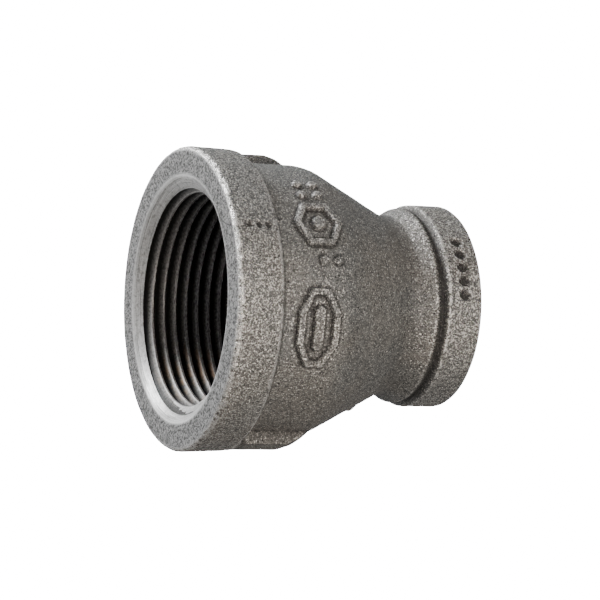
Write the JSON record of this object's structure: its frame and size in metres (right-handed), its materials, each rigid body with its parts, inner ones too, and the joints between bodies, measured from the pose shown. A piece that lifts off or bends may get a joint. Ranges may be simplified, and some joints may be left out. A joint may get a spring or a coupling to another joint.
{
  "type": "reducing coupling",
  "caption": "Cast iron reducing coupling with a wide threaded mouth, a tapered body with two ribs and a narrow threaded end.",
  "frame": {"origin": "centre of the small end face, with the coupling standing on that face", "axes": "+Z along the common bore axis, from the small end up to the large mouth; the two cast ribs lie on +X and -X"},
  "size_m": [0.0548, 0.0548, 0.052],
  "materials": {
    "black_iron": "as-cast black oxide, with machined faces and threads"
  },
  "bodies": {
    "root": {"coupling_body": "black_iron"}
  },
  "joints": []
}
